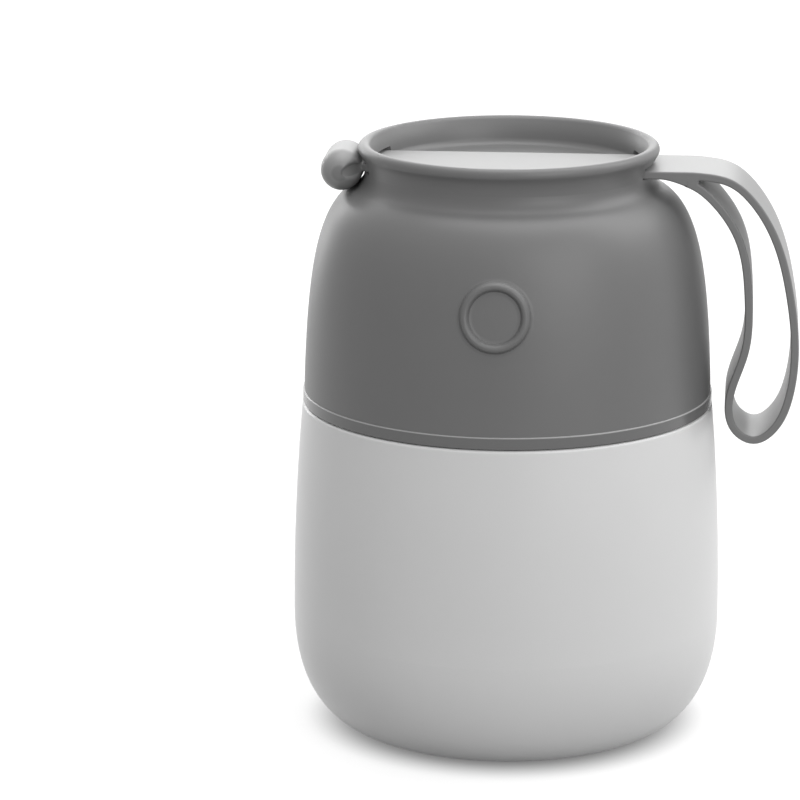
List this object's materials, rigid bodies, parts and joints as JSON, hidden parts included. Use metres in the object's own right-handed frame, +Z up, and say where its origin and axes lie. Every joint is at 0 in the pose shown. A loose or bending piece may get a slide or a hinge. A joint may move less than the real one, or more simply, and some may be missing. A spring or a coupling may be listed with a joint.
{
  "type": "insulated food jar",
  "caption": "Double-walled steel food jar with a tall screw-on lid, a recessed top with a flared rim, and a flat silicone carrying strap through the lid.",
  "frame": {"origin": "on the jar's axis, in the plane of the ring that it stands on", "axes": "+Z up along the jar's axis, -Y towards the raised ring on the lid's front, +X towards the strap's carrying loop"},
  "size_m": [0.1221, 0.104, 0.1436],
  "materials": {
    "body_paint": "matte",
    "liner_steel": "satin",
    "foil": "gloss",
    "base_steel": "satin",
    "solder_glass": "gloss",
    "getter_alloy": "matte",
    "lid_plastic": "satin",
    "cap_plastic": "satin",
    "foam": "matte",
    "gasket_silicone": "satin",
    "strap_silicone": "matte"
  },
  "bodies": {
    "jar": {"outer_shell": "body_paint", "inner_liner": "liner_steel", "liner_bottom": "liner_steel", "radiation_foil": "foil", "outer_bottom": "base_steel", "vacuum_seal": "solder_glass", "getter_holder": "base_steel", "getter_pellet": "getter_alloy", "base_cover": "base_steel"},
    "lid_seal": {"lid_gasket": "gasket_silicone"},
    "lid_core": {"lid_foam": "foam"},
    "lid": {"lid_shell": "lid_plastic", "threaded_cap": "cap_plastic", "strap_band": "strap_silicone"},
    "loop": {"strap_loop": "strap_silicone"}
  },
  "joints": [
    {"name": "lid_lift_off", "type": "slide", "parent": "jar", "child": "lid_seal", "axis": [0, 0, 1], "range_m": [0, 0.06]},
    {"name": "lid_rise", "type": "slide", "parent": "lid_seal", "child": "lid_core", "axis": [0, 0, 1], "range_m": [0, 0.0076]},
    {"name": "lid_turn", "type": "hinge", "parent": "lid_core", "child": "lid", "pos_m": [0, 0, 0.0944], "axis": [0, 0, 1], "range_deg": [0, 540]},
    {"name": "strap_swing", "type": "hinge", "parent": "lid", "child": "loop", "pos_m": [0.0386, 0, 0.1372], "axis": [0, -1, 0], "range_deg": [-3, 95]}
  ],
  "couplings": [
    {"joint": "lid_rise", "follows": "lid_turn", "m_per_rad": 0.00079577}
  ]
}
